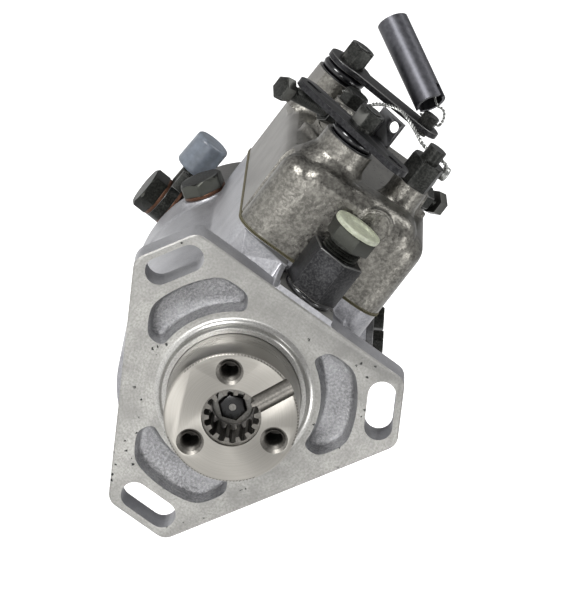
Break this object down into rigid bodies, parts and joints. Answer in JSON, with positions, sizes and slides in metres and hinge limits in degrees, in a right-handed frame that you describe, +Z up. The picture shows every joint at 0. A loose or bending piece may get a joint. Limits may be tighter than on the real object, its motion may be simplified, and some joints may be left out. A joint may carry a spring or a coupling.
{
  "type": "diesel injection pump",
  "caption": "Rotary distributor diesel injection pump with a triangular mounting flange, a drilled drive hub, a mechanical governor under a cast cover, and throttle and stop levers.",
  "frame": {"origin": "on the drive axis, in the mounting flange's front face, at the root of the locating spigot", "axes": "-Y along the drive axis out of the drive end, +Z up towards the governor cover and the levers, +X to the right seen from the drive end"},
  "size_m": [0.108, 0.1982, 0.1724],
  "materials": {
    "housing_alloy": "cast, flange and bores machined",
    "cover_alloy": "shot-blasted casting",
    "gasket": "pressed fibre",
    "ground_steel": "ground",
    "phosphated_steel": "phosphated",
    "plate_alloy": "die-cast",
    "black_steel": "black oxide",
    "pressed_steel": "pressed and plain",
    "copper": "soft copper",
    "bronze": "plain",
    "rubber": "moulded",
    "clear_nylon": "translucent",
    "milky_polythene": "translucent",
    "spring_wire": "drawn wire"
  },
  "bodies": {
    "pump_body": {"pump_housing": "housing_alloy", "governor_cover": "cover_alloy", "cover_gasket": "gasket", "cover_cap_nuts": "black_steel", "inspection_cover": "plate_alloy", "inspection_screws": "phosphated_steel", "fuel_adapter": "black_steel", "adapter_washer": "rubber", "adapter_plug": "black_steel", "transit_disc": "clear_nylon", "vent_screw": "black_steel", "shaft_bush": "bronze", "hub_oil_seal": "rubber", "cam_ring": "ground_steel", "cam_locking_screw": "black_steel", "hydraulic_head": "phosphated_steel", "head_locking_screws": "black_steel", "locking_washers": "copper", "transfer_liner": "ground_steel", "end_plate": "plate_alloy", "end_plate_screws": "phosphated_steel", "inlet_union": "black_steel", "regulating_spring": "spring_wire", "outlet_washers": "copper", "outlet_banjos": "black_steel", "outlet_bolts": "black_steel", "outlet_caps": "milky_polythene", "control_bracket": "pressed_steel", "dust_rings": "rubber", "speed_stop_screws": "black_steel", "stop_lock_nuts": "black_steel", "seal_wire": "spring_wire"},
    "drive_train": {"drive_hub": "ground_steel", "hub_screw": "ground_steel", "drive_shaft": "ground_steel", "weight_cage": "ground_steel", "pump_rotor": "ground_steel", "plungers": "ground_steel", "roller_shoes": "ground_steel", "cam_rollers": "ground_steel", "transfer_vanes": "ground_steel"},
    "governor_sleeve": {"thrust_sleeve": "ground_steel"},
    "weight_1": {"governor_weight_1": "ground_steel"},
    "weight_2": {"governor_weight_2": "ground_steel"},
    "weight_3": {"governor_weight_3": "ground_steel"},
    "weight_4": {"governor_weight_4": "ground_steel"},
    "arm": {"governor_arm": "pressed_steel", "governor_spring": "spring_wire"},
    "link": {"linkage_hook": "pressed_steel"},
    "valve": {"metering_valve": "ground_steel"},
    "throttle": {"throttle_shaft": "ground_steel", "throttle_lever": "black_steel", "throttle_nut": "black_steel"},
    "stop": {"stop_shaft": "ground_steel", "stop_lever": "black_steel", "stop_nut": "black_steel", "lever_clamp_screw": "black_steel", "tamper_sleeve": "black_steel", "sleeve_tie_wire": "spring_wire"},
    "piston": {"regulating_piston": "ground_steel"}
  },
  "joints": [
    {"name": "drive_spin", "type": "hinge", "parent": "pump_body", "child": "drive_train", "pos_m": [0, 0, 0], "axis": [0, -1, 0], "continuous": true},
    {"name": "governor_sleeve_slide", "type": "slide", "parent": "drive_train", "child": "governor_sleeve", "axis": [0, 1, 0], "range_m": [0, 0.0025]},
    {"name": "governor_arm_tilt", "type": "hinge", "parent": "pump_body", "child": "arm", "pos_m": [0, 0.0581, 0.04], "axis": [1, 0, 0], "range_deg": [0, 3.7]},
    {"name": "link_level", "type": "hinge", "parent": "arm", "child": "link", "pos_m": [0.006, 0.0581, 0.056], "axis": [1, 0, 0], "range_deg": [-3.7, 0]},
    {"name": "metering_valve_turn", "type": "hinge", "parent": "pump_body", "child": "valve", "pos_m": [-0.002, 0.099, 0.014], "axis": [0, 0, 1], "range_deg": [-7.3, 0]},
    {"name": "throttle_turn", "type": "hinge", "parent": "pump_body", "child": "throttle", "pos_m": [-0.0158, 0.034, 0.0888], "axis": [0, 0, 1], "range_deg": [-25, 30], "deforming": ["governor_spring"]},
    {"name": "stop_turn", "type": "hinge", "parent": "pump_body", "child": "stop", "pos_m": [-0.0236, 0.09, 0.0922], "axis": [0, 0, 1], "range_deg": [-16, 20]},
    {"name": "regulating_piston_slide", "type": "slide", "parent": "pump_body", "child": "piston", "axis": [0, 0, 1], "range_m": [0, 0.003], "stiffness_N_per_m": 400, "springref_m": -0.002, "deforming": ["regulating_spring"]},
    {"name": "weight_1_swing", "type": "hinge", "parent": "drive_train", "child": "weight_1", "pos_m": [0.026, 0.0263, 0], "axis": [0, 0, -1], "range_deg": [0, 10.7]},
    {"name": "weight_2_swing", "type": "hinge", "parent": "drive_train", "child": "weight_2", "pos_m": [0, 0.0263, 0.026], "axis": [1, 0, 0], "range_deg": [0, 10.7]},
    {"name": "weight_3_swing", "type": "hinge", "parent": "drive_train", "child": "weight_3", "pos_m": [-0.026, 0.0263, 0], "axis": [0, 0, 1], "range_deg": [0, 10.7]},
    {"name": "weight_4_swing", "type": "hinge", "parent": "drive_train", "child": "weight_4", "pos_m": [0, 0.0263, -0.026], "axis": [-1, 0, 0], "range_deg": [0, 10.7]}
  ],
  "couplings": [
    {"joint": "weight_1_swing", "follows": "governor_sleeve_slide", "rad_per_m": 74.07},
    {"joint": "weight_2_swing", "follows": "governor_sleeve_slide", "rad_per_m": 74.07},
    {"joint": "weight_3_swing", "follows": "governor_sleeve_slide", "rad_per_m": 74.07},
    {"joint": "weight_4_swing", "follows": "governor_sleeve_slide", "rad_per_m": 74.07},
    {"joint": "governor_arm_tilt", "follows": "governor_sleeve_slide", "rad_per_m": 25},
    {"joint": "link_level", "follows": "governor_sleeve_slide", "rad_per_m": -25},
    {"joint": "metering_valve_turn", "follows": "governor_sleeve_slide", "rad_per_m": -50}
  ]
}
